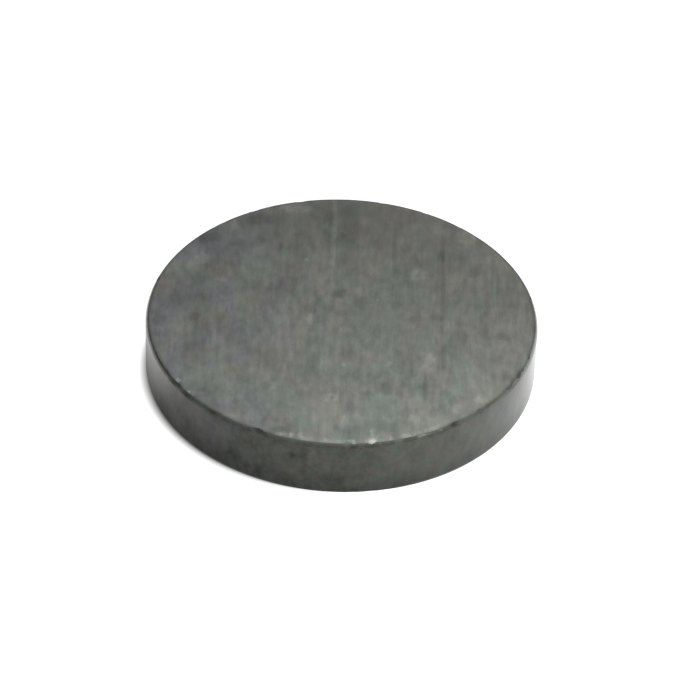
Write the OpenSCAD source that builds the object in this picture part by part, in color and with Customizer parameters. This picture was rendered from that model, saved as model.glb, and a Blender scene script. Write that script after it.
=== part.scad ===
// Ceramic disc magnet: pressed with a rounded edge, sintered, then ground
// flat on both faces, which cuts the rounding short and leaves a crisp edge.
// Millimetres, +Z up. The origin is the centre of the lower ground face.
// The grinding lines on both faces run along Y.

/* [Disc] */
// Outer diameter of the disc
diameter = 25; // [12:0.5:60]
// Thickness from ground face to ground face
thickness = 4; // [2:0.25:10]

/* [Edge] */
// Radius of the pressed rounding between the outer wall and each face
edge_radius = 0.4; // [0.25:0.05:0.8]
// How far in from the outer wall the grinding has cut the rounding short
edge_inset = 0.17; // [0.05:0.01:0.2]

/* [Chips] */
// Size of the chips in the upper edge, as a share of their own sizes
chip_scale = 1; // [0.5:0.05:1.25]

/* [Hidden] */
$fn = 96;

radius = diameter / 2;
// What is left of the rounding's height, from the ground face to the wall
edge_height = sqrt(pow(edge_radius, 2) - pow(edge_radius - edge_inset, 2));

// Chips in the upper edge, counted anticlockwise from +X.
// Each is [bearing, width along the edge, depth, tilt above the horizontal],
// so a steep tilt takes more of the face, and a flat one more of the wall.
FRONT_CHIPS = [
    [200, 0.50, 0.03, 56],
    [209, 0.60, 0.04, 56],
    [216, 0.70, 0.04, 54],
    [228, 0.50, 0.03, 56],
    [233.5, 0.60, 0.03, 54],
    [246.5, 1.00, 0.10, 54],
    [250.5, 0.50, 0.04, 54],
    [258, 0.60, 0.03, 66],
    [269, 0.60, 0.03, 62],
    [275, 0.50, 0.04, 70],
    [280, 0.65, 0.06, 70],
    [297, 0.50, 0.03, 58],
    [307, 0.80, 0.05, 52],
    [315, 0.60, 0.07, 53],
    [322, 0.60, 0.03, 54],
    [329, 0.70, 0.05, 48],
    [335, 0.60, 0.08, 54],
    [338, 0.40, 0.05, 54],
    [344, 0.50, 0.04, 54],
];
BACK_CHIPS = [
    [12, 0.50, 0.04, 56],
    [38, 0.60, 0.04, 56],
    [53, 0.70, 0.05, 58],
    [65, 0.60, 0.06, 58],
    [79, 0.60, 0.04, 56],
    [104, 0.90, 0.07, 58],
    [119, 0.80, 0.06, 58],
    [122, 0.45, 0.04, 56],
    [130, 0.50, 0.05, 56],
    [134, 0.60, 0.06, 56],
    [138, 0.50, 0.05, 58],
    [165, 0.60, 0.05, 56],
];

// Radius of the ball whose cap has this width and depth
function cap_ball(width, depth) = (width * width / 4 + depth * depth) / (2 * depth);

// Half of the disc's section: two ground faces and a plain wall, joined by
// true arcs that meet the wall smoothly and the faces at a crisp edge
module half_section() {
    square([radius - edge_inset, thickness]);
    translate([0, edge_height])
        square([radius, thickness - 2 * edge_height]);
    intersection() {
        square([radius, thickness]);
        for (z = [edge_height, thickness - edge_height])
            translate([radius - edge_radius, z])
                circle(r = edge_radius);
    }
}

// A shell-shaped chip, broken out of the crisp edge of the upper face
module rim_chip(bearing, width, depth, tilt) {
    ball = cap_ball(width, depth);
    rotate(bearing)
        translate([radius - edge_inset, 0, thickness])
            rotate([0, -tilt, 0])
                translate([ball - depth, 0, 0])
                    sphere(r = ball);
}

module disc_magnet() {
    color([0.43, 0.45, 0.43])
        difference() {
            rotate_extrude()
                half_section();
            for (chip = concat(FRONT_CHIPS, BACK_CHIPS))
                rim_chip(chip[0], chip[1] * chip_scale, chip[2] * chip_scale, chip[3]);
        }
}

disc_magnet();
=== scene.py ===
"""The looks of the ceramic disc magnet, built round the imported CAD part.

The plain CAD disc is replaced by a finely divided disc of the same form, which
also has the grinding's roll-off and the many small chips along both edges.
Lengths are in metres, in the part's own frame, with MM for one millimetre.
Bearings are counted anticlockwise from +X.
"""

import math

import bpy
import numpy as np
from mathutils import Matrix, Vector


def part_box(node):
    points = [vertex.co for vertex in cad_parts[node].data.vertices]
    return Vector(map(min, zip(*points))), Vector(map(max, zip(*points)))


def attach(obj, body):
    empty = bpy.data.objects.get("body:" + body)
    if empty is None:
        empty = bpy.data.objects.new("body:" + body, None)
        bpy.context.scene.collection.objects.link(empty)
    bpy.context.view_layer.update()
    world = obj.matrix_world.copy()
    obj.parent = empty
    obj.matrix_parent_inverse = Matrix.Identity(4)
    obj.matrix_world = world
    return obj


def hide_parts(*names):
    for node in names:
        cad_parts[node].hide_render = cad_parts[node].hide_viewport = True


MM = 0.001
NODE = "disc_magnet"

# ---------------------------------------------------------------- the frame

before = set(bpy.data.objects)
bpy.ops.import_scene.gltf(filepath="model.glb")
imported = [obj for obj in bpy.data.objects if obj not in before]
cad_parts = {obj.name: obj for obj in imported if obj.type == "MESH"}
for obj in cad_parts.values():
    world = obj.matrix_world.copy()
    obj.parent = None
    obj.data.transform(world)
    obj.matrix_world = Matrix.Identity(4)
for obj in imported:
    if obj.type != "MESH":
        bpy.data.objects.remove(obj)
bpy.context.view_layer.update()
low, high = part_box(NODE)
RADIUS = (high.x - low.x) / 2
TOP = high.z
BOTTOM = low.z

# ---------------------------------------------------------------- the form

EDGE_RADIUS = 0.4 * MM  # the pressed rounding, as in the CAD part
EDGE_INSET = 0.17 * MM  # where the ground face cuts it short
EDGE_HEIGHT = math.sqrt(EDGE_RADIUS**2 - (EDGE_RADIUS - EDGE_INSET) ** 2)
CORNER = RADIUS - EDGE_INSET  # radius of the crisp edge
SHARP_ANGLE = math.radians(30)  # an edge sharper than this is shaded as crisp

AROUND = 1440  # points around the disc
STEP = 360 / AROUND  # degrees from one to the next
BEARINGS = np.arange(AROUND) * 360 / AROUND  # theirs, in degrees
FACE_RINGS = 5  # wide rings on the flat of a face
RIM_BAND = 0.52 * MM  # finely divided band beside the crisp edge
RIM_RINGS = 12
FACE_ROWS = FACE_RINGS + RIM_RINGS  # the last of these is the crisp edge
ARC_RINGS = 13
WALL_RINGS = 8

# The disc's material slots
GROUND = 0
SKIN = 1
BROKEN = 2

# ---------------------------------------------------------------- wear and painted highlight, reflection and shade

ROLL_WIDTH = 0.40 * MM  # where wear has rolled the face off towards its edge
ROLL_DROP = 0.012 * MM
WORN_DROP = 0.035 * MM  # more where the edge is worn
WORN_FADE = 2.6  # how steeply the wear ends on its way round to the wall
EDGE_WAVES = (13, 29, 47)  # waves around the disc, which make the wear uneven
WAVE_START = 70  # they all start this many degrees before +X
WAVE_SHARE = 0.15
SOFT_WIDTH = 0.25 * MM  # where the face darkens towards its edge
SOFT_POWER = 1.5
CHIP_SHADE_REACH = 0.20 * MM  # how far the painted shade spreads from the crisp edge

# How much paler the rounding is than the wall, as a painted reflection of the bright
# surroundings:
# at X in millimetres, at the crisp edge, a third of the way round to the wall and two thirds of
# it
PAINTED_ROUNDING_REFLECTION = [
    (-11.5, 1.1, 0.4, 0.3),
    (-9.0, 2.2, 1.5, 1.4),
    (-4.0, 2.2, 1.6, 1.1),
    (0.0, 1.9, 1.2, 0.2),
    (5.5, 1.0, 0.5, 0.2),
    (8.0, 1.8, 1.2, 1.1),
    (9.5, 2.0, 1.5, 2.2),
    (11.0, 1.6, 1.1, 1.9),
    (11.8, 1.2, 2.2, 8.0),
    (12.3, 1.2, 5.0, 10.0),
]

# Worn stretches of edge, whose lighter face is partly a painted highlight: bearing and half width
# in degrees, and how worn
EDGE_WEAR_AND_HIGHLIGHT = [
    (273, 29, 0.48),
    (253, 2, 0.20),
    (256, 1.2, 0.35),
    (259.5, 2, 0.25),
    (263, 3, 0.15),
    (274.7, 1.2, 0.48),
    (280, 2.2, 0.80),
    (285.5, 3, 0.40),
    (290.5, 3.5, 0.30),
    (299.5, 2.5, 0.30),
    (220.5, 3, 0.45),
    (213.5, 2.5, 0.40),
    (341, 4, 0.30),
    (120, 36, 0.42),
    (58, 50, 0.50),
]

# Painted shade on the edge, mostly at the chips: bearing and half width in degrees, and how dark
PAINTED_CHIP_SHADE = [
    (247.2, 3.6, 0.95),
    (216, 2.0, 0.30),
    (232, 3.0, 0.30),
    (305.8, 2.4, 0.80),
    (315.2, 1.5, 0.40),
    (319, 2.5, 0.25),
    (330.5, 2.2, 0.15),
    (336, 2.0, 0.50),
    (345, 1.5, 0.15),
    (357, 2.5, 0.35),
]

# ---------------------------------------------------------------- the chips

# The CAD part's chips: bearing in degrees, width and depth in millimetres,
# tilt above the horizontal in degrees
CHIPS = [
    # along the front
    (200, 0.50, 0.03, 56),
    (209, 0.60, 0.04, 56),
    (216, 0.70, 0.04, 54),
    (228, 0.50, 0.03, 56),
    (233.5, 0.60, 0.03, 54),
    (246.5, 1.00, 0.10, 54),
    (250.5, 0.50, 0.04, 54),
    (258, 0.60, 0.03, 66),
    (269, 0.60, 0.03, 62),
    (275, 0.50, 0.04, 70),
    (280, 0.65, 0.06, 70),
    (297, 0.50, 0.03, 58),
    (307, 0.80, 0.05, 52),
    (315, 0.60, 0.07, 53),
    (322, 0.60, 0.03, 54),
    (329, 0.70, 0.05, 48),
    (335, 0.60, 0.08, 54),
    (338, 0.40, 0.05, 54),
    (344, 0.50, 0.04, 54),
    # along the back
    (12, 0.50, 0.04, 56),
    (38, 0.60, 0.04, 56),
    (53, 0.70, 0.05, 58),
    (65, 0.60, 0.06, 58),
    (79, 0.60, 0.04, 56),
    (104, 0.90, 0.07, 58),
    (119, 0.80, 0.06, 58),
    (122, 0.45, 0.04, 56),
    (130, 0.50, 0.05, 56),
    (134, 0.60, 0.06, 56),
    (138, 0.50, 0.05, 58),
    (165, 0.60, 0.05, 56),
]

# The chips too small for the CAD part: how many along each edge, and their ranges
SMALL_CHIPS = 130
SMALL_WIDTHS = (0.10, 0.26)  # in millimetres
SMALL_DEPTHS = (0.04, 0.09)  # as shares of the width
SMALL_TILTS = (45, 75)  # in degrees
SMALL_SEED = 11
CHIP_SHOWS = 0.008 * MM  # where more than this is gone, the finish is broken ceramic

# ---------------------------------------------------------------- the mesh


def upper_rows():
    """The upper half of the section, from the middle of the face to the wall."""
    inner = np.linspace(0, CORNER - RIM_BAND, FACE_RINGS + 1)[1:]
    rim = np.linspace(CORNER - RIM_BAND, CORNER, RIM_RINGS + 1)[1:]
    radii = np.concatenate([inner, rim])
    heights = np.full(len(radii), TOP)
    corner_tilt = math.acos(EDGE_HEIGHT / EDGE_RADIUS)
    tilt = np.linspace(corner_tilt, math.pi / 2, ARC_RINGS + 1)[1:]
    arc_radii = RADIUS - EDGE_RADIUS + EDGE_RADIUS * np.sin(tilt)
    arc_heights = TOP - EDGE_HEIGHT + EDGE_RADIUS * np.cos(tilt)
    return np.concatenate([radii, arc_radii]), np.concatenate([heights, arc_heights])


def section_rows():
    """The whole section, from the middle of the upper face to that of the lower."""
    radii, heights = upper_rows()
    wall = np.linspace(TOP - EDGE_HEIGHT, BOTTOM + EDGE_HEIGHT, WALL_RINGS + 2)[1:-1]
    mirrored = TOP + BOTTOM - heights
    all_radii = np.concatenate([radii, np.full(len(wall), RADIUS), radii[::-1]])
    all_heights = np.concatenate([heights, wall, mirrored[::-1]])
    return all_radii, all_heights


def break_out(points, bearing, width, depth, tilt, side):
    """Presses points inside one chip's ball back to its surface, along the chip's axis.

    side is 1 for the upper edge and -1 for the lower. Returns how far each point moved.
    """
    turn = math.radians(bearing)
    lean = math.radians(tilt)
    # the radius of the ball whose cap has this width and depth
    ball = (width * width / 4 + depth * depth) / (2 * depth)
    outward = np.array([math.cos(turn), math.sin(turn), 0])
    axis = outward * math.cos(lean) + np.array([0, 0, side * math.sin(lean)])
    edge = outward * CORNER + np.array([0, 0, TOP if side > 0 else BOTTOM])
    from_ball = points - (edge + axis * (ball - depth))
    along = from_ball @ axis
    inside = ball * ball - (from_ball * from_ball).sum(-1)
    moved = np.where(inside > 0, along + np.sqrt(np.clip(along**2 + inside, 0, None)), 0)
    points -= moved[..., None] * axis
    return moved


def chip_edges(points):
    """Breaks the chips out of both edges. Returns how deep each point was broken."""
    draw = np.random.default_rng(SMALL_SEED)
    chips = [(bearing, width * MM, depth * MM, tilt, 1) for bearing, width, depth, tilt in CHIPS]
    for side in (1, -1):
        for bearing in draw.uniform(0, 360, SMALL_CHIPS):
            width = draw.uniform(*SMALL_WIDTHS) * MM
            depth = width * draw.uniform(*SMALL_DEPTHS)
            chips.append((bearing, width, depth, draw.uniform(*SMALL_TILTS), side))
    broken = np.zeros(points.shape[:2])
    for bearing, width, depth, tilt, side in chips:
        # twice as far as the chip goes, and two points to spare
        reach = int(math.degrees(width / CORNER) / STEP) + 2
        columns = (round(bearing / STEP) + np.arange(-reach, reach + 1)) % AROUND
        near = points[:, columns]
        broken[:, columns] += break_out(near, bearing, width, depth, tilt, side)
        points[:, columns] = near
    return broken


def away_from(centre, half_width):
    """How far each point around is from a bearing, in half widths."""
    return np.abs((BEARINGS - centre + 180) % 360 - 180) / half_width


def wear_and_highlight_around():
    """How worn the edge is at each point around, a little over 1 where it is most worn; it also
    sets the painted highlight.
    """
    wear_and_highlight = np.zeros(AROUND)
    for centre, half_width, share in EDGE_WEAR_AND_HIGHLIGHT:
        wear_and_highlight += share * np.clip(1 - away_from(centre, half_width) ** 2, 0, 1)
    waves = sum(np.sin(np.radians(BEARINGS * n + WAVE_START * n)) for n in EDGE_WAVES)
    return wear_and_highlight * (1 + WAVE_SHARE * waves)


def roll_edges(points, radii):
    """Rolls both faces off towards their edges, most where the edge is worn.

    Returns how worn each point is, which also sets the painted highlight.
    """
    wear_and_highlight = wear_and_highlight_around()
    drop = ROLL_DROP + WORN_DROP * wear_and_highlight
    share = np.clip((radii[:FACE_ROWS] - CORNER + ROLL_WIDTH) / ROLL_WIDTH, 0, 1)
    points[:FACE_ROWS, :, 2] -= share[:, None] ** 2 * drop
    points[-FACE_ROWS:, :, 2] += share[::-1, None] ** 2 * drop
    below = np.clip(WORN_FADE - WORN_FADE * np.arange(1, ARC_RINGS + 1) / ARC_RINGS, 0, 1)
    down = np.concatenate([share, below, np.zeros(WALL_RINGS), below[::-1], share[::-1]])
    # the edge is worn inwards as far as it is worn down
    pull = down[:, None] ** 2 * drop / RADIUS
    points[..., :2] *= 1 - pull[..., None]
    return down[:, None] * wear_and_highlight


def near_edge(radii):
    """How near each point is to a crisp edge, from 0 on the face to 1 at the edge and past it."""
    near = np.clip((radii - CORNER + SOFT_WIDTH) / SOFT_WIDTH, 0, 1) ** SOFT_POWER
    return np.repeat(near[:, None], AROUND, 1)


def paint_rounding_reflection(points):
    """How much paler each point of the roundings is than the wall, as a painted reflection."""
    table = np.array(PAINTED_ROUNDING_REFLECTION).T
    along = points[FACE_ROWS, :, 0] / MM
    # the table's three places on the rounding, and the wall, at each point around
    knots = np.array([np.interp(along, table[0], row) for row in table[1:]] + [0 * along])
    thirds = np.arange(ARC_RINGS + 1) / ARC_RINGS * 3
    knot = np.minimum(thirds.astype(int), 2)
    share = (thirds - knot)[:, None]
    painted_reflection = np.zeros(points.shape[:2])
    arc = slice(FACE_ROWS - 1, FACE_ROWS + ARC_RINGS)
    painted_reflection[arc] = knots[knot] * (1 - share) + knots[knot + 1] * share
    return np.maximum(painted_reflection, painted_reflection[::-1])


def shade_at_chips(points):
    """How much painted shade each point has by the chips, about 1 in the darkest place on the
    upper edge.
    """
    aside = np.hypot(np.hypot(points[..., 0], points[..., 1]) - CORNER, points[..., 2] - TOP)
    near = np.exp(-((aside / CHIP_SHADE_REACH) ** 2))
    shaded_around = np.zeros(AROUND)
    for centre, half_width, share in PAINTED_CHIP_SHADE:
        # a bell curve, whose half width is two standard deviations
        shaded_around += share * np.exp(-2 * away_from(centre, half_width) ** 2)
    return near * shaded_around


def disc_faces(rows):
    """The quads between the rings, and the two fans that close the middle."""
    ring = np.arange(AROUND)
    after = (ring + 1) % AROUND
    faces = []
    for row in range(rows - 1):
        upper = row * AROUND
        lower = upper + AROUND
        faces += np.stack([upper + ring, lower + ring, lower + after, upper + after], 1).tolist()
    top_middle = rows * AROUND
    last = (rows - 1) * AROUND
    faces += [(top_middle, i, j) for i, j in zip(ring, after)]
    faces += [(top_middle + 1, last + j, last + i) for i, j in zip(ring, after)]
    return faces


def finish_of_faces(rows, broken):
    """The material slot of each face: ground, skin, or broken where two corners are."""
    index = np.full((rows - 1, AROUND), SKIN)
    index[: FACE_ROWS - 1] = GROUND
    index[rows - FACE_ROWS :] = GROUND
    deep = (broken > CHIP_SHOWS).astype(int)
    after = np.roll(deep, -1, 1)
    corners_broken = deep[:-1] + deep[1:] + after[:-1] + after[1:]
    index[corners_broken >= 2] = BROKEN
    return np.append(index.ravel(), np.full(2 * AROUND, GROUND))


def paint(mesh, name, values):
    """Stores a number on every point of the mesh, with 0 on the two middles."""
    mark = mesh.attributes.new(name, "FLOAT", "POINT")
    mark.data.foreach_set("value", np.append(values.ravel(), [0, 0]).astype(np.float32))


def ring_points(radii, heights):
    """The points around the disc, with a ring for each row of its section."""
    turn = np.linspace(0, 2 * math.pi, AROUND, endpoint=False)
    points = np.empty((len(radii), AROUND, 3))
    points[..., 0] = radii[:, None] * np.cos(turn)
    points[..., 1] = radii[:, None] * np.sin(turn)
    points[..., 2] = heights[:, None]
    return points


def build_disc():
    """The disc as one closed mesh, with its three finishes by material slot."""
    radii, heights = section_rows()
    points = ring_points(radii, heights)
    # how worn the edge is, which also paints a highlight on the face
    wear_and_highlight = roll_edges(points, radii)
    # a painted reflection that makes the roundings paler
    painted_reflection = paint_rounding_reflection(points)
    # painted shade at the chips
    chip_shade = shade_at_chips(points)
    broken = chip_edges(points)
    corners = points.reshape(-1, 3).tolist() + [(0, 0, TOP), (0, 0, BOTTOM)]
    mesh = bpy.data.meshes.new("disc")
    mesh.from_pydata(corners, [], disc_faces(len(radii)))
    paint(mesh, "wear_and_highlight", wear_and_highlight)
    paint(mesh, "edge", near_edge(radii))
    paint(mesh, "painted_reflection", painted_reflection)
    paint(mesh, "chip_shade", chip_shade)
    for material in (ground_face(), sintered_skin(), broken_edge()):
        mesh.materials.append(material)
    mesh.polygons.foreach_set("material_index", finish_of_faces(len(radii), broken))
    mesh.shade_smooth()
    mesh.set_sharp_from_angle(angle=SHARP_ANGLE)
    mesh.validate()
    disc = bpy.data.objects.new("disc", mesh)
    bpy.context.scene.collection.objects.link(disc)
    return disc


# ---------------------------------------------------------------- node helpers

SPOT_CORE = 0.35  # the flat middle of a spot, as a share of its size


class Tree:
    """The node tree of a material or a world, with short calls for the nodes used here."""

    def __init__(self, owner):
        owner.use_nodes = True
        self.owner = owner
        self.nodes = owner.node_tree.nodes
        self.links = owner.node_tree.links
        self.shader = self.nodes.get("Principled BSDF")

    def feed(self, socket, value):
        """Links an output to a socket, or writes a plain value on it."""
        if isinstance(value, bpy.types.NodeSocket):
            self.links.new(value, socket)
        elif socket.type == "RGBA":
            socket.default_value = (*value, 1)
        else:
            socket.default_value = value

    def place(self):
        """The surface's own coordinates, in millimetres."""
        coordinates = self.nodes.new("ShaderNodeTexCoord")
        return self.vector("SCALE", coordinates.outputs["Object"], 1 / MM)

    def vector(self, operation, a, b=(0, 0, 0)):
        """Vector maths. b is a vector, or one number for SCALE."""
        node = self.nodes.new("ShaderNodeVectorMath")
        node.operation = operation
        self.feed(node.inputs[0], a)
        if operation != "LENGTH":
            self.feed(node.inputs["Scale"] if operation == "SCALE" else node.inputs[1], b)
        gives_number = operation in ("LENGTH", "DOT_PRODUCT")
        return node.outputs["Value" if gives_number else "Vector"]

    def part(self, vector, axis):
        """One part of a vector, X, Y or Z."""
        node = self.nodes.new("ShaderNodeSeparateXYZ")
        self.feed(node.inputs["Vector"], vector)
        return node.outputs[axis]

    def math(self, operation, a, b=0.0, c=0.0):
        """Maths with numbers."""
        node = self.nodes.new("ShaderNodeMath")
        node.operation = operation
        for socket, value in zip(node.inputs, (a, b, c)):
            self.feed(socket, value)
        return node.outputs[0]

    def noise(self, place, stretch, detail=2.0, roughness=0.5):
        """Noise from -0.5 to 0.5, with stretch features a millimetre along X, Y and Z."""
        node = self.nodes.new("ShaderNodeTexNoise")
        self.feed(node.inputs["Vector"], self.vector("MULTIPLY", place, stretch))
        self.feed(node.inputs["Scale"], 1.0)
        self.feed(node.inputs["Detail"], detail)
        self.feed(node.inputs["Roughness"], roughness)
        return self.math("SUBTRACT", node.outputs["Fac"], 0.5)

    def wander(self, place, stretch, reach):
        """The place shifted by noise, by up to half of reach millimetres, for uneven outlines."""
        node = self.nodes.new("ShaderNodeTexNoise")
        self.feed(node.inputs["Vector"], place)
        self.feed(node.inputs["Scale"], stretch)
        shift = self.vector("SUBTRACT", node.outputs["Color"], (0.5, 0.5, 0.5))
        return self.vector("ADD", place, self.vector("SCALE", shift, reach))

    def ramp(self, value, start, end, at_start=0.0, at_end=1.0):
        """A smooth step from at_start to at_end, as value goes from start to end."""
        node = self.nodes.new("ShaderNodeMapRange")
        node.interpolation_type = "SMOOTHSTEP"
        for socket, number in zip(node.inputs, (value, start, end, at_start, at_end)):
            self.feed(socket, number)
        return node.outputs["Result"]

    def slope(self, value, start, end):
        """A straight rise from 0 to 1, as value goes from start to end."""
        node = self.nodes.new("ShaderNodeMapRange")
        for socket, number in zip(node.inputs, (value, start, end)):
            self.feed(socket, number)
        return node.outputs["Result"]

    def spot(self, place, centre, half_size):
        """1 in the middle of a soft-edged oval and 0 outside it, in millimetres."""
        offset = self.vector("SUBTRACT", place, centre)
        share = self.vector("DIVIDE", offset, half_size)
        return self.ramp(self.vector("LENGTH", share), SPOT_CORE, 1.0, 1.0, 0.0)

    def with_marks(self, value, place, marks, strength=1.0):
        """A value with soft ovals on the upper face added: x, y, half sizes and weight."""
        for x, y, half_x, half_y, weight in marks:
            mark = self.spot(place, (x, y, TOP / MM), (half_x, half_y, 1))
            value = self.math("MULTIPLY_ADD", mark, weight * strength, value)
        return value

    def total(self, *terms):
        """The sum of (value, weight) pairs, on top of 1."""
        result = 1.0
        for value, weight in terms:
            result = self.math("MULTIPLY_ADD", value, weight, result)
        return result

    def painted(self, name):
        """A number stored on the mesh's points."""
        node = self.nodes.new("ShaderNodeAttribute")
        node.attribute_name = name
        return node.outputs["Fac"]

    def mix(self, factor, a, b):
        """A colour between a, where the factor is 0, and b, where it is 1."""
        node = self.nodes.new("ShaderNodeMix")
        node.data_type = "RGBA"
        self.feed(node.inputs["Factor"], factor)
        self.feed(node.inputs["A"], a)
        self.feed(node.inputs["B"], b)
        return node.outputs["Result"]

    def bump(self, height, microns):
        """A bump whose height of 1 stands for that many thousandths of a millimetre."""
        node = self.nodes.new("ShaderNodeBump")
        self.feed(node.inputs["Distance"], microns * 0.001 * MM)
        self.feed(node.inputs["Height"], height)
        return node.outputs["Normal"]


# ---------------------------------------------------------------- the marks and colours

# Base colours, in linear light
GREEN_GREY = (0.1345, 0.1500, 0.1318)
WARM_GREY = (0.1490, 0.1478, 0.1338)
BLUE_GREY = (0.132, 0.138, 0.143)
SKIN_GREY = (0.0190, 0.0245, 0.0190)
SKIN_WARM = (0.0250, 0.0230, 0.0185)
SKIN_BLUE = (0.0215, 0.0220, 0.0255)
# EDGE_GREY is the plainer grey of the rounding's painted reflection
EDGE_GREY = (0.0215, 0.0230, 0.0205)
CHIP_GREY = (0.055, 0.058, 0.053)
# CHIP_DARK is the chips' painted shade
CHIP_DARK = (0.026, 0.028, 0.024)
# CHIP_LIGHT is a painted highlight where the chips are worn
CHIP_LIGHT = (0.25, 0.27, 0.25)

# Marks on the upper face: x, y, half width and half length in millimetres, and how much
# lighter or darker, before MARK_STRENGTH. These run dead straight along the grinding lines.
STRAIGHT_MARKS = [
    # the two sides of the streak that runs back from the middle
    (-0.72, 8.2, 0.26, 6.0, 0.13),
    (-0.80, 6.0, 0.30, 1.6, 0.08),
    (-0.95, 4.0, 0.42, 1.3, 0.07),
    (0.30, 9.3, 0.85, 4.3, -0.10),
    (-0.16, 8.4, 0.28, 0.5, -0.10),
    (-0.10, 6.0, 0.40, 1.1, -0.08),
    # long grinding lines
    (6.42, 2.5, 0.22, 8.5, -0.10),
    (6.35, 6.6, 0.30, 1.1, -0.12),
    (6.50, -3.6, 0.28, 1.5, -0.09),
    (3.25, 7.0, 0.22, 3.4, -0.09),
    (8.55, 3.0, 0.20, 3.5, -0.06),
    (9.60, 4.0, 0.15, 2.6, -0.09),
    (9.95, 4.2, 0.15, 2.2, -0.09),
    (5.05, 5.5, 0.14, 3.5, -0.06),
    (7.55, 5.5, 0.14, 3.0, -0.05),
    (-3.15, 0.5, 0.20, 4.5, -0.05),
    (-5.95, -4.5, 0.25, 3.0, -0.05),
    (-8.60, -3.0, 0.25, 4.0, -0.06),
    (5.35, -7.0, 0.24, 2.2, -0.10),
    (-0.45, -1.5, 0.16, 3.0, -0.05),
]

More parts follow.
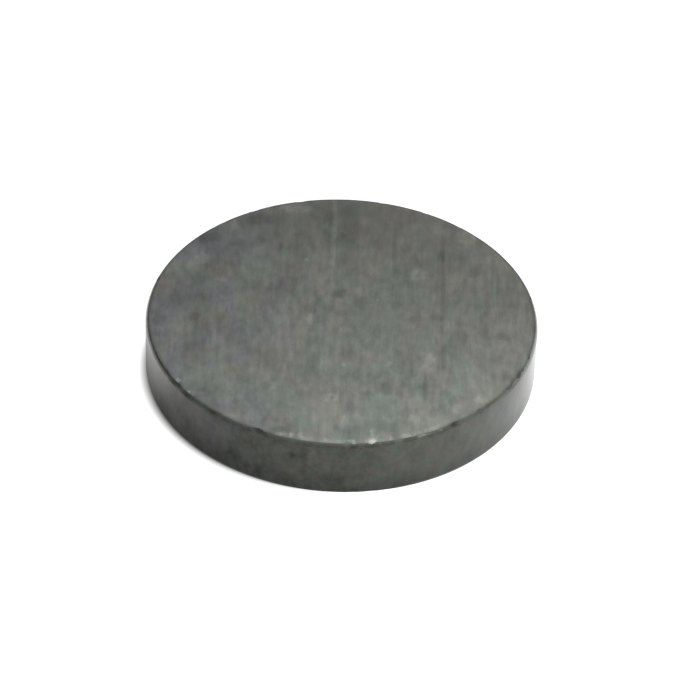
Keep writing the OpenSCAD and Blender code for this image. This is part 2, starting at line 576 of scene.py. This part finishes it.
# The same for marks with uneven outlines
FACE_MARKS = [
    # broad tones, painted light and shade: darker at the back and lighter in the middle and in
    # front on the right
    (0.0, 11.5, 11.0, 7.5, -0.050),
    (9.5, 6.0, 6.0, 6.0, -0.040),
    (-6.0, 7.0, 5.0, 5.0, -0.020),
    (0.0, -0.5, 8.0, 6.5, 0.030),
    (8.5, -8.0, 6.0, 5.0, 0.018),
    (-6.5, -6.0, 5.5, 5.5, 0.030),
    # the small round stain
    (-0.25, 2.2, 0.62, 0.72, -0.24),
    (0.20, 11.0, 1.20, 1.30, -0.07),
    (1.60, 10.9, 0.90, 0.90, -0.07),
    # darker stains, from the back to the front
    (-1.15, 10.5, 0.50, 0.80, -0.10),
    (-5.5, 9.8, 1.90, 0.85, -0.17),
    (-8.8, 7.7, 0.95, 0.95, -0.16),
    (-6.9, 7.2, 0.45, 0.70, -0.13),
    (8.6, 5.2, 0.50, 0.95, -0.14),
    (-9.3, 3.0, 0.70, 1.0, -0.09),
    (-7.4, 2.2, 0.50, 0.65, -0.12),
    (-10.7, 1.2, 0.65, 1.2, -0.11),
    (3.5, 1.3, 0.45, 0.65, -0.13),
    (1.3, 1.5, 0.55, 1.0, -0.08),
    (6.1, 0.2, 0.60, 0.65, -0.12),
    (4.7, 0.0, 0.70, 0.45, -0.10),
    (-9.4, -0.6, 0.55, 0.65, -0.15),
    (-11.6, -1.0, 0.55, 0.95, -0.15),
    (9.0, -1.1, 0.42, 0.80, -0.12),
    (10.3, -1.5, 0.55, 0.55, -0.12),
    (7.8, -1.8, 0.38, 1.1, -0.13),
    (-9.3, -3.6, 0.85, 0.80, -0.10),
    (-4.4, -4.6, 0.80, 1.8, -0.13),
    (10.6, -5.5, 0.55, 0.60, -0.12),
    (-6.2, -6.6, 0.45, 0.65, -0.11),
    (-4.7, -7.1, 0.45, 0.55, -0.11),
    (3.0, -7.1, 0.60, 1.00, -0.12),
    (3.9, -7.5, 0.42, 0.55, -0.14),
    (1.7, -7.6, 0.65, 0.45, -0.12),
    (5.4, -7.0, 0.50, 1.5, -0.08),
    (0.9, -8.9, 0.50, 0.60, -0.10),
    (5.85, -9.0, 0.38, 0.90, -0.11),
    (-8.8, -7.8, 0.85, 1.0, -0.10),
    (-3.6, -11.2, 0.90, 0.50, -0.12),
    (2.4, -10.6, 1.60, 0.80, -0.08),
    # lighter patches, from the back to the front
    (-3.4, 11.2, 1.50, 0.75, 0.17),
    (6.3, 9.5, 0.85, 1.0, 0.09),
    (-7.4, 9.1, 0.65, 0.75, 0.14),
    (8.0, 8.5, 1.00, 1.7, 0.11),
    (9.6, 6.5, 0.60, 1.2, 0.09),
    (-5.4, 6.4, 0.45, 0.95, 0.10),
    (-9.6, 5.3, 1.10, 1.6, 0.14),
    (-6.5, 4.8, 0.50, 0.80, 0.10),
    (4.75, 4.6, 0.70, 0.80, 0.20),
    (7.2, 3.8, 0.75, 1.3, 0.13),
    (-7.6, 3.3, 0.42, 0.45, 0.14),
    (-7.2, 0.6, 1.10, 1.1, 0.08),
    (-1.9, -0.4, 0.48, 0.95, 0.15),
    (0.2, -1.4, 0.50, 0.65, 0.12),
    (-8.0, -2.4, 0.45, 1.7, 0.09),
    (5.5, -4.3, 0.52, 1.6, 0.15),
    (3.05, -4.6, 0.35, 0.45, 0.15),
    (-0.9, -5.3, 0.50, 1.9, 0.12),
    (-0.5, -8.0, 0.65, 0.70, 0.19),
    (-6.8, -8.2, 0.95, 1.5, 0.10),
    (7.2, -8.6, 0.75, 0.65, 0.13),
    (8.8, -7.7, 0.55, 0.65, 0.12),
    (4.7, -9.8, 0.65, 0.65, 0.13),
    (0.3, -10.2, 0.42, 1.2, 0.11),
    (-5.1, -10.0, 0.95, 0.80, 0.10),
    # painted highlights: light blotches along the worn edge in front
    (-3.40, -11.60, 0.28, 0.22, 0.14),
    (-2.92, -11.72, 0.22, 0.30, 0.24),
    (-2.30, -11.72, 0.30, 0.35, 0.18),
    (-1.50, -11.90, 0.30, 0.20, 0.14),
    (-0.75, -11.98, 0.32, 0.24, 0.18),
    (0.98, -11.96, 0.32, 0.24, 0.26),
    (2.30, -11.78, 0.36, 0.34, 0.42),
    (2.15, -11.30, 0.36, 0.60, 0.20),
    (2.55, -11.55, 0.26, 0.40, 0.14),
    (3.25, -11.52, 0.50, 0.22, 0.11),
    (4.30, -11.25, 0.40, 0.24, 0.12),
    (5.95, -10.45, 0.34, 0.40, 0.14),
    (-8.70, -8.00, 0.60, 0.42, 0.12),
    (-6.35, -10.10, 0.75, 0.35, 0.07),
    # bright specks
    (-2.50, 5.75, 0.20, 0.24, 0.25),
    (2.19, 1.75, 0.16, 0.22, 0.20),
    (0.30, -4.90, 0.20, 0.24, 0.22),
    (-10.05, -6.92, 0.18, 0.22, 0.36),
    (-9.07, -7.90, 0.22, 0.20, 0.36),
]

# Where the face is warmer, or greener where the weight is below zero
HUE_MARKS = [
    (4.5, 9.0, 7.0, 4.5, 0.08),
    (-3.0, 2.5, 1.7, 3.0, 0.10),
    (-4.0, -3.7, 1.4, 2.8, 0.14),
    (1.4, -4.2, 3.6, 0.9, 0.12),
    (0.2, -8.9, 1.3, 3.2, 0.12),
    (5.6, -8.7, 1.3, 2.3, 0.14),
    (10.3, -1.0, 1.5, 5.0, 0.08),
    (-2.5, -11.6, 2.2, 0.70, 0.20),
    (1.6, -11.7, 1.0, 0.50, 0.12),
    (3.5, -11.5, 0.9, 0.60, 0.16),
    (0.2, 10.7, 0.9, 1.8, -0.22),
    (-0.5, 4.2, 1.0, 3.2, -0.20),
    (-5.2, 4.4, 2.0, 2.2, -0.14),
    (6.3, 6.5, 1.4, 1.0, -0.20),
    (4.2, 3.3, 1.5, 2.3, -0.14),
    (3.2, -0.5, 1.4, 2.4, -0.12),
    (-1.8, -2.0, 1.2, 2.1, -0.14),
    (8.4, 1.5, 0.8, 2.4, -0.14),
    (7.2, -3.8, 0.6, 5.0, -0.14),
    (1.0, -5.8, 4.5, 0.9, -0.14),
    (2.7, -8.3, 2.0, 2.4, -0.14),
    (-4.7, -8.3, 3.2, 2.2, -0.16),
    (-9.4, 3.6, 1.7, 1.3, -0.16),
    (-8.0, 6.5, 3.6, 3.6, -0.08),
    (-8.6, -5.2, 2.6, 3.4, -0.07),
    (9.8, 2.0, 4.5, 7.0, 0.07),
    (8.5, -6.5, 3.0, 4.0, 0.07),
    (4.4, -10.6, 2.4, 1.6, 0.09),
    (-4.0, 10.6, 2.0, 1.4, 0.10),
    (-8.8, 3.2, 1.8, 2.0, -0.06),
]

# Where the left of the face is bluer, or less blue
BLUE_MARKS = [
    (-8.8, 7.6, 3.6, 3.2, 0.16),
    (-11.3, 0.6, 2.0, 2.6, 0.14),
    (-8.8, -1.2, 1.4, 1.4, 0.06),
    (-3.8, 11.0, 1.6, 0.8, 0.20),
    (-8.8, -6.2, 2.2, 2.0, -0.08),
    (-11.2, -3.8, 1.6, 1.6, -0.10),
    (-8.8, 3.0, 1.8, 1.6, -0.05),
]

# Marks on the wall: bearing in degrees, height, half size around and in height in
# millimetres, and how much lighter or darker
WALL_MARKS = [
    (261, 2.6, 0.30, 1.0, -0.60),
    (240, 1.7, 0.80, 0.70, -0.35),
    (335, 2.9, 0.50, 0.60, -0.35),
    (221, 2.3, 0.50, 0.60, -0.35),
    (277.5, 2.3, 0.25, 0.50, -0.30),
    (232, 1.6, 0.50, 0.60, 0.35),
    (241, 3.3, 1.00, 0.50, 0.30),
    (263.6, 3.2, 0.35, 0.40, 0.30),
    (289, 2.6, 0.60, 0.80, 0.25),
    (311, 1.8, 0.50, 0.60, 0.25),
]

# ---------------------------------------------------------------- the materials

CERAMIC_IOR = 1.5
FACE_ROUGHNESS = 0.60
SKIN_ROUGHNESS = 0.15
CHIP_ROUGHNESS = 0.75
SKIN_SHEEN = 0.5
CHIP_SHEEN = 0.3
SKIN_TINT = (0.99, 1.0, 0.90)
FACE_BUMP = 5  # in thousandths of a millimetre
SKIN_BUMP = 6
CHIP_BUMP = 20

# What marks, wear with its painted highlight, the nearness of the edge and painted shade add to
# the tones
MARK_STRENGTH = 1.6
FACE_WEAR_AND_HIGHLIGHT = 0.60
FACE_EDGE = -0.45
FACE_CHIP_SHADE = -0.55
SKIN_CHIP_SHADE = -2.4
# Wear also makes the rounding rougher, and with the painted shade it takes the sheen off
WORN_ROUGHNESS = 1.2
WORN_LIMIT = 0.55  # but more wear than this makes no difference there
CHIP_SHADE_DULL = 1.2


def ceramic(name):
    """The tree of a new material, with what the three finishes share."""
    tree = Tree(bpy.data.materials.new(name))
    tree.shader.inputs["IOR"].default_value = CERAMIC_IOR
    return tree


def paint_base(tree, colour, tone):
    """Gives the material a colour made lighter or darker by a tone about 1."""
    tree.feed(tree.shader.inputs["Base Color"], tree.vector("SCALE", colour, tone))


def face_marks(tree, place, wavy):
    """The face's stains, patches, specks and painted light and shade, and what its edge does to
    it, about zero.
    """
    wear_and_highlight = tree.painted("wear_and_highlight")
    edge = tree.math("MULTIPLY", tree.painted("edge"), tree.ramp(wear_and_highlight, 0.0, 0.4, 1.0, 0.8))
    marks = tree.with_marks(0.0, place, STRAIGHT_MARKS, MARK_STRENGTH)
    marks = tree.with_marks(marks, wavy, FACE_MARKS, MARK_STRENGTH)
    # wear lightens the face's edge, partly as a painted highlight
    marks = tree.math("MULTIPLY_ADD", wear_and_highlight, FACE_WEAR_AND_HIGHLIGHT, marks)
    marks = tree.math("MULTIPLY_ADD", edge, FACE_EDGE, marks)
    # the painted shade darkens the face at the chips
    return tree.math("MULTIPLY_ADD", tree.painted("chip_shade"), FACE_CHIP_SHADE, marks)


def face_colour(tree, place, wavy):
    """Patches of green and warm grey, and of blue grey towards the left."""
    hue = tree.with_marks(tree.noise(place, (0.55, 0.33, 1), 2), wavy, HUE_MARKS)
    warm = tree.ramp(hue, -0.06, 0.07)
    to_left = tree.ramp(tree.part(place, "X"), -1, -8)
    blue = tree.with_marks(tree.noise(place, (0.5, 0.3, 1.7), 2), wavy, BLUE_MARKS)
    blue = tree.math("MULTIPLY", tree.ramp(blue, -0.06, 0.12), to_left)
    return tree.mix(blue, tree.mix(warm, GREEN_GREY, WARM_GREY), BLUE_GREY)


def ground_face():
    """The ground faces: mottled grey, with fine grinding lines along Y."""
    tree = ceramic("ground_face")
    place = tree.place()
    patches = tree.ramp(tree.noise(place, (0.22, 0.18, 1.3), 1), -0.05, 0.12)
    long_lines = tree.math("MULTIPLY", tree.noise(place, (1.7, 0.09, 1), 4, 0.7), patches)
    short_lines = tree.noise(place, (3.2, 0.45, 1), 4, 0.65)
    fine_lines = tree.noise(place, (16, 0.5, 1), 2)
    clouds = tree.noise(place, (0.40, 0.28, 1), 3, 0.6)
    mottle = tree.noise(place, (2.1, 0.95, 1), 2)
    grain = tree.noise(place, (9, 7, 1), 2)
    tone = tree.total(
        (long_lines, 0.65),
        (short_lines, 0.50),
        (clouds, 0.80),
        (mottle, 0.75),
        (grain, 0.27),
    )
    wavy = tree.wander(tree.wander(place, 0.8, 0.9), 2.5, 0.4)
    uneven = tree.total((grain, 1.0), (mottle, 1.8), (short_lines, 1.6))
    tone = tree.math("MULTIPLY_ADD", face_marks(tree, place, wavy), uneven, tone)
    paint_base(tree, face_colour(tree, place, wavy), tone)
    roughness = tree.total((grain, 0.3), (clouds, 0.2))
    roughness = tree.math("MULTIPLY", roughness, FACE_ROUGHNESS)
    tree.feed(tree.shader.inputs["Roughness"], roughness)
    height = tree.total((fine_lines, 1.0), (grain, 0.8))
    tree.feed(tree.shader.inputs["Normal"], tree.bump(height, FACE_BUMP))
    return tree.owner


def with_wall_marks(tree, tone, place):
    """The wall's tone with its own lighter and darker marks."""
    wavy = tree.wander(place, 1.6, 0.5)
    for bearing, z, half_around, half_z, weight in WALL_MARKS:
        turn = math.radians(bearing)
        centre = (RADIUS / MM * math.cos(turn), RADIUS / MM * math.sin(turn), z)
        mark = tree.spot(wavy, centre, (half_around, half_around, half_z))
        tone = tree.math("MULTIPLY_ADD", mark, weight, tone)
    return tone


def skin_colour(tree, place, painted_reflection):
    """Dark grey, warmer or greener in patches, bluer on the left and plainer on the rounding's
    painted reflection.
    """
    warm = tree.ramp(tree.noise(place, (0.9, 0.9, 0.9), 2), -0.08, 0.08)
    to_left = tree.ramp(tree.part(place, "X"), 0, -8)
    blue = tree.ramp(tree.noise(place, (0.7, 0.7, 0.5), 2), -0.08, 0.12)
    blue = tree.math("MULTIPLY", blue, to_left)
    colour = tree.mix(blue, tree.mix(warm, SKIN_GREY, SKIN_WARM), SKIN_BLUE)
    # plainer grey where the rounding's reflection is painted
    return tree.mix(tree.ramp(painted_reflection, 0.0, 1.5, 0.0, 0.8), colour, EDGE_GREY)


def sintered_skin():
    """The wall and its roundings as they left the kiln: darker and smoother."""
    tree = ceramic("sintered_skin")
    place = tree.place()
    painted_reflection = tree.painted("painted_reflection")
    chip_shade = tree.painted("chip_shade")
    wear_and_highlight = tree.math("MINIMUM", tree.painted("wear_and_highlight"), WORN_LIMIT)
    calm = tree.ramp(tree.part(place, "X"), -6, 6, 1.0, 0.45)
    draw_lines = tree.noise(place, (3.0, 3.0, 0.4), 2)
    clouds = tree.math("MULTIPLY", tree.noise(place, (0.8, 0.8, 0.6), 3), calm)
    mottle = tree.math("MULTIPLY", tree.noise(place, (2.4, 2.4, 1.8), 2), calm)
    grain = tree.noise(place, (9, 9, 7), 2)
    tone = tree.total((draw_lines, 0.5), (clouds, 3.0), (mottle, 1.6), (grain, 0.5))
    # the painted reflection makes the roundings paler
    tone = tree.math("ADD", with_wall_marks(tree, tone, place), painted_reflection)
    # the painted shade darkens the skin at the chips
    tone = tree.math("MULTIPLY_ADD", chip_shade, SKIN_CHIP_SHADE, tone)
    paint_base(tree, skin_colour(tree, place, painted_reflection), tone)
    roughness = tree.total((clouds, 1.2), (mottle, 1.2))
    roughness = tree.math("MULTIPLY", roughness, SKIN_ROUGHNESS)
    roughness = tree.math("MULTIPLY_ADD", wear_and_highlight, WORN_ROUGHNESS, roughness)
    tree.feed(tree.shader.inputs["Roughness"], roughness)
    sheen = tree.total((clouds, 0.9), (mottle, 0.6), (grain, 0.2))
    sheen = tree.math("MULTIPLY", sheen, SKIN_SHEEN)
    dull = tree.math("MULTIPLY_ADD", chip_shade, CHIP_SHADE_DULL, wear_and_highlight)
    sheen = tree.math("MULTIPLY", sheen, tree.ramp(dull, 0.0, 1.0, 1.0, 0.3))
    tree.feed(tree.shader.inputs["Specular IOR Level"], sheen)
    tree.feed(tree.shader.inputs["Specular Tint"], SKIN_TINT)
    height = tree.total((grain, 1.0), (mottle, 3.0))
    tree.feed(tree.shader.inputs["Normal"], tree.bump(height, SKIN_BUMP))
    return tree.owner


def broken_edge():
    """Broken ceramic in the chips: matt, with painted shade, and lighter where worn, which is
    also a painted highlight.
    """
    tree = ceramic("broken_edge")
    place = tree.place()
    grain = tree.noise(place, (11, 11, 11), 3)
    clouds = tree.noise(place, (2, 2, 2), 2)
    tone = tree.total((grain, 0.8), (clouds, 0.5))
    # the painted shade darkens the chips
    chip_shaded = tree.mix(tree.ramp(tree.painted("chip_shade"), 0.0, 0.8), CHIP_GREY, CHIP_DARK)
    # lighter where the chip is worn, as a painted highlight
    light = tree.ramp(tree.painted("wear_and_highlight"), 0.3, 1.1)
    paint_base(tree, tree.mix(light, chip_shaded, CHIP_LIGHT), tone)
    tree.feed(tree.shader.inputs["Roughness"], CHIP_ROUGHNESS)
    tree.feed(tree.shader.inputs["Specular IOR Level"], CHIP_SHEEN)
    tree.feed(tree.shader.inputs["Normal"], tree.bump(grain, CHIP_BUMP))
    return tree.owner


# ---------------------------------------------------------------- the stage

FLOOR_HALF = 2.0  # in metres
FLOOR_GAP = 0.01 * MM  # keeps the floor just clear of the disc's lower face
FLOOR_COLOUR = (0.25, 0.25, 0.25)
# The floor is lifted to white, 1, where it is seen, and in reflections by this much,
# because the paper is brighter on the lamp's side and behind
FRONT_LEFT_LIFT = 0.93
BACK_LEFT_LIFT = 1.32
RIGHT_LIFT = 1.26
FRONT_TO_BACK = (-6.0, -2.5)  # along Y, in millimetres
LEFT_TO_RIGHT = (-1.0, 7.0)  # along X
# The lift fades beside the disc, a painted shadow, most on one side: its shift to that side, and
# its start and end from the wall, in millimetres, as it is seen and in reflections
SHADE_SIDE = math.radians(200)
SEEN_SHADE = (0.8, -0.95, -0.3)
GLOSSY_SHADE = (1.1, -1.5, 1.9)
AMBIENT = (0.457, 0.437, 0.426)  # the light that comes from all round, a little warm
RIGHT_AMBIENT = (0.765, 0.745, 0.725)  # and from the lamp's side
PATCH_LIGHT = (2.6, 2.6, 2.6)  # a bright patch low behind on the right
PATCH_BEARING = math.radians(27)
PATCH_ELEVATION = math.radians(7)
PATCH_INSIDE = math.radians(9)
PATCH_OUTSIDE = math.radians(22)
KEY_SHARE = 0.5  # of white, which is how light the lamp alone makes a level white face
KEY_BEARING = math.radians(-63)
KEY_ELEVATION = math.radians(32)
KEY_DISTANCE = 42 * MM
KEY_SIZE = 16 * MM
KEY_COLOUR = (0.92, 1.0, 0.995)


def shade(tree, place, shift, start, end):
    """0 beside the disc to 1 away from it, over a band round it, shifted to one side."""
    aside = (shift * math.cos(SHADE_SIDE), shift * math.sin(SHADE_SIDE), 0)
    away = tree.vector("LENGTH", tree.vector("SUBTRACT", place, aside))
    return tree.slope(away, RADIUS / MM + start, RADIUS / MM + end)


def floor_material():
    """White paper, lifted to plain white where it is seen, with the object's shadow kept and a
    painted shadow beside it.
    """
    tree = Tree(bpy.data.materials.new("white_floor"))
    tree.nodes.remove(tree.shader)
    diffuse = tree.nodes.new("ShaderNodeBsdfDiffuse")
    tree.feed(diffuse.inputs["Color"], FLOOR_COLOUR)
    lift = tree.nodes.new("ShaderNodeEmission")
    path = tree.nodes.new("ShaderNodeLightPath")
    place = tree.place()
    seen = tree.math("MULTIPLY", path.outputs["Is Camera Ray"], shade(tree, place, *SEEN_SHADE))
    y = tree.part(place, "Y")
    left_lift = tree.ramp(y, *FRONT_TO_BACK, FRONT_LEFT_LIFT, BACK_LEFT_LIFT)
    glossy_lift = tree.ramp(tree.part(place, "X"), *LEFT_TO_RIGHT, left_lift, RIGHT_LIFT)
    glossy_lift = tree.math("MULTIPLY", glossy_lift, shade(tree, place, *GLOSSY_SHADE))
    glossy = path.outputs["Is Glossy Ray"]
    glossy = tree.math("MAXIMUM", glossy, path.outputs["Is Transmission Ray"])
    reflected = tree.math("MULTIPLY", glossy, glossy_lift)
    tree.feed(lift.inputs["Strength"], tree.math("MAXIMUM", seen, reflected))
    both = tree.nodes.new("ShaderNodeAddShader")
    tree.feed(both.inputs[0], diffuse.outputs[0])
    tree.feed(both.inputs[1], lift.outputs[0])
    tree.feed(tree.nodes["Material Output"].inputs["Surface"], both.outputs[0])
    return tree.owner


def add_floor():
    """A wide sheet of white paper just under the disc."""
    sides = ((-1, -1), (1, -1), (1, 1), (-1, 1))
    corners = [(x * FLOOR_HALF, y * FLOOR_HALF, 0) for x, y in sides]
    mesh = bpy.data.meshes.new("floor")
    mesh.from_pydata(corners, [], [(0, 1, 2, 3)])
    mesh.materials.append(floor_material())
    floor = bpy.data.objects.new("floor", mesh)
    floor.location.z = BOTTOM - FLOOR_GAP
    bpy.context.scene.collection.objects.link(floor)


def toward(bearing, elevation):
    """The direction with this bearing and elevation."""
    level = math.cos(elevation)
    return Vector((level * math.cos(bearing), level * math.sin(bearing), math.sin(elevation)))


def add_world():
    """White surroundings, dimmer as light than as background, with a bright patch low behind."""
    world = bpy.data.worlds.new("studio")
    bpy.context.scene.world = world
    tree = Tree(world)
    direction = tree.nodes.new("ShaderNodeTexCoord").outputs["Generated"]
    to_right = tree.ramp(tree.part(direction, "X"), 0, 1)
    in_patch = tree.vector("DOT_PRODUCT", direction, toward(PATCH_BEARING, PATCH_ELEVATION))
    in_patch = tree.ramp(in_patch, math.cos(PATCH_OUTSIDE), math.cos(PATCH_INSIDE))
    colour = tree.mix(in_patch, tree.mix(to_right, AMBIENT, RIGHT_AMBIENT), PATCH_LIGHT)
    seen = tree.nodes.new("ShaderNodeLightPath").outputs["Is Camera Ray"]
    tree.feed(tree.nodes["Background"].inputs["Color"], tree.mix(seen, colour, (1, 1, 1)))


def add_key():
    """One soft lamp, close to the disc and low, in front and to the right."""
    direction = toward(KEY_BEARING, KEY_ELEVATION)
    light = bpy.data.lights.new("key", "AREA")
    light.shape = "DISK"
    light.size = KEY_SIZE
    light.color = KEY_COLOUR
    light.energy = KEY_SHARE * math.pi**2 * KEY_DISTANCE**2 / math.sin(KEY_ELEVATION)
    lamp = bpy.data.objects.new("key", light)
    lamp.location = Vector((0, 0, TOP)) + direction * KEY_DISTANCE
    lamp.rotation_euler = direction.to_track_quat("Z", "Y").to_euler()
    lamp.visible_camera = False
    bpy.context.scene.collection.objects.link(lamp)


# ---------------------------------------------------------------- the camera

CAMERA_ELEVATION = math.radians(39.57)
CAMERA_ROLL = math.radians(2.12)
CAMERA_DISTANCE = 18.81 * RADIUS
CAMERA_AIM = Vector((0.0474, 0.1185, 0.0019)) * RADIUS  # in the middle of the picture
SENSOR = 36.0  # in millimetres, as the lens is
LENS = 186.77


def add_camera():
    """A camera in front of the disc and above it, rolled a little."""
    back = Vector((0, -math.cos(CAMERA_ELEVATION), math.sin(CAMERA_ELEVATION)))
    side = Vector((1, 0, 0))
    up = back.cross(side)
    rolled_side = side * math.cos(CAMERA_ROLL) + up * math.sin(CAMERA_ROLL)
    rolled_up = up * math.cos(CAMERA_ROLL) - side * math.sin(CAMERA_ROLL)
    data = bpy.data.cameras.new("camera")
    data.sensor_width = SENSOR
    data.lens = LENS
    data.clip_start = 1 * MM
    camera = bpy.data.objects.new("camera", data)
    turn = Matrix((rolled_side, rolled_up, back)).transposed()
    camera.matrix_world = Matrix.Translation(CAMERA_AIM + back * CAMERA_DISTANCE) @ turn.to_4x4()
    bpy.context.scene.collection.objects.link(camera)
    bpy.context.scene.camera = camera


# ---------------------------------------------------------------- the scene

add_camera()
disc = build_disc()
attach(disc, "root")
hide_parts(NODE)
add_floor()
add_world()
add_key()
bpy.context.scene.view_settings.view_transform = "Standard"
